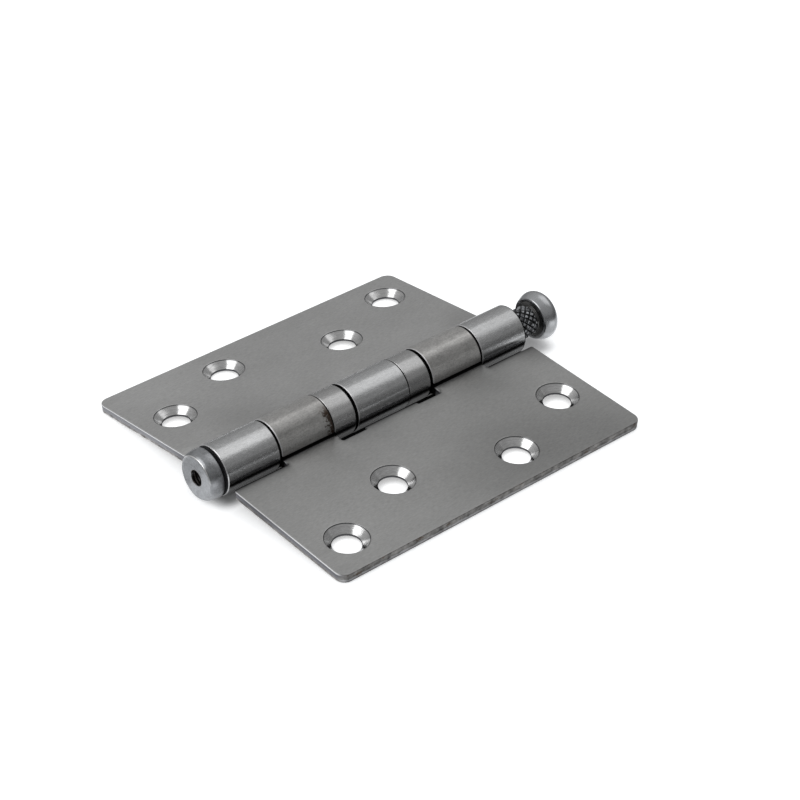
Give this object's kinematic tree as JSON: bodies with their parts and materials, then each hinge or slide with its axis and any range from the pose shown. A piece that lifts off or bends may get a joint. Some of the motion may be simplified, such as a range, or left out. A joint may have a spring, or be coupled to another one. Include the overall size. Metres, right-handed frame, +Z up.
{
  "type": "ball bearing hinge",
  "caption": "Butt hinge with two countersunk leaves on a five-knuckle barrel, loose pin with a button head, and ball thrust bearings between knuckles.",
  "frame": {"origin": "bottom centre of the bounding box, on the surface the hinge lies on, under the barrel's axis", "axes": "+Y along the barrel from the tip plug to the pin's head, +X towards the leaf with two knuckles, +Z up"},
  "size_m": [0.0896, 0.1054, 0.0122],
  "materials": {
    "back_leaf_steel": "bare satin steel with a fine brushed grain",
    "front_leaf_steel": "bare satin steel with a fine brushed grain, a little darker",
    "pin_steel": "turned and tumbled steel with a dark knurl",
    "plug_steel": "turned and tumbled steel, faintly blue",
    "shell_steel": "drawn and polished steel",
    "race_steel": "hardened and ground steel, oiled",
    "cage_brass": "stamped brass",
    "ball_steel": "polished bearing steel"
  },
  "bodies": {
    "fixed_leaf": {"back_leaf": "back_leaf_steel", "tip_plug": "plug_steel", "upper_bearing_shell": "shell_steel", "upper_bearing_lower_race": "race_steel", "lower_bearing_upper_race": "race_steel"},
    "swing_leaf": {"front_leaf": "front_leaf_steel", "lower_bearing_shell": "shell_steel", "lower_bearing_lower_race": "race_steel", "upper_bearing_upper_race": "race_steel"},
    "pin": {"hinge_pin": "pin_steel"},
    "lower_ball_cage": {"lower_bearing_cage": "cage_brass", "lower_bearing_ball_01": "ball_steel", "lower_bearing_ball_02": "ball_steel", "lower_bearing_ball_03": "ball_steel", "lower_bearing_ball_04": "ball_steel", "lower_bearing_ball_05": "ball_steel", "lower_bearing_ball_06": "ball_steel", "lower_bearing_ball_07": "ball_steel", "lower_bearing_ball_08": "ball_steel"},
    "upper_ball_cage": {"upper_bearing_cage": "cage_brass", "upper_bearing_ball_01": "ball_steel", "upper_bearing_ball_02": "ball_steel", "upper_bearing_ball_03": "ball_steel", "upper_bearing_ball_04": "ball_steel", "upper_bearing_ball_05": "ball_steel", "upper_bearing_ball_06": "ball_steel", "upper_bearing_ball_07": "ball_steel", "upper_bearing_ball_08": "ball_steel"}
  },
  "joints": [
    {"name": "leaf_swing", "type": "hinge", "parent": "fixed_leaf", "child": "swing_leaf", "pos_m": [0, 0, 0.0061], "axis": [0, -1, 0], "range_deg": [-130, 188.6]},
    {"name": "pin_slide", "type": "slide", "parent": "fixed_leaf", "child": "pin", "axis": [0, 1, 0], "range_m": [-0.00695, 0.078]},
    {"name": "lower_cage_turn", "type": "hinge", "parent": "fixed_leaf", "child": "lower_ball_cage", "pos_m": [0, 0, 0.0061], "axis": [0, -1, 0], "range_deg": [-65, 94.3]},
    {"name": "upper_cage_turn", "type": "hinge", "parent": "fixed_leaf", "child": "upper_ball_cage", "pos_m": [0, 0, 0.0061], "axis": [0, -1, 0], "range_deg": [-65, 94.3]}
  ],
  "couplings": [
    {"joint": "lower_cage_turn", "follows": "leaf_swing", "ratio": 0.5},
    {"joint": "upper_cage_turn", "follows": "leaf_swing", "ratio": 0.5}
  ]
}
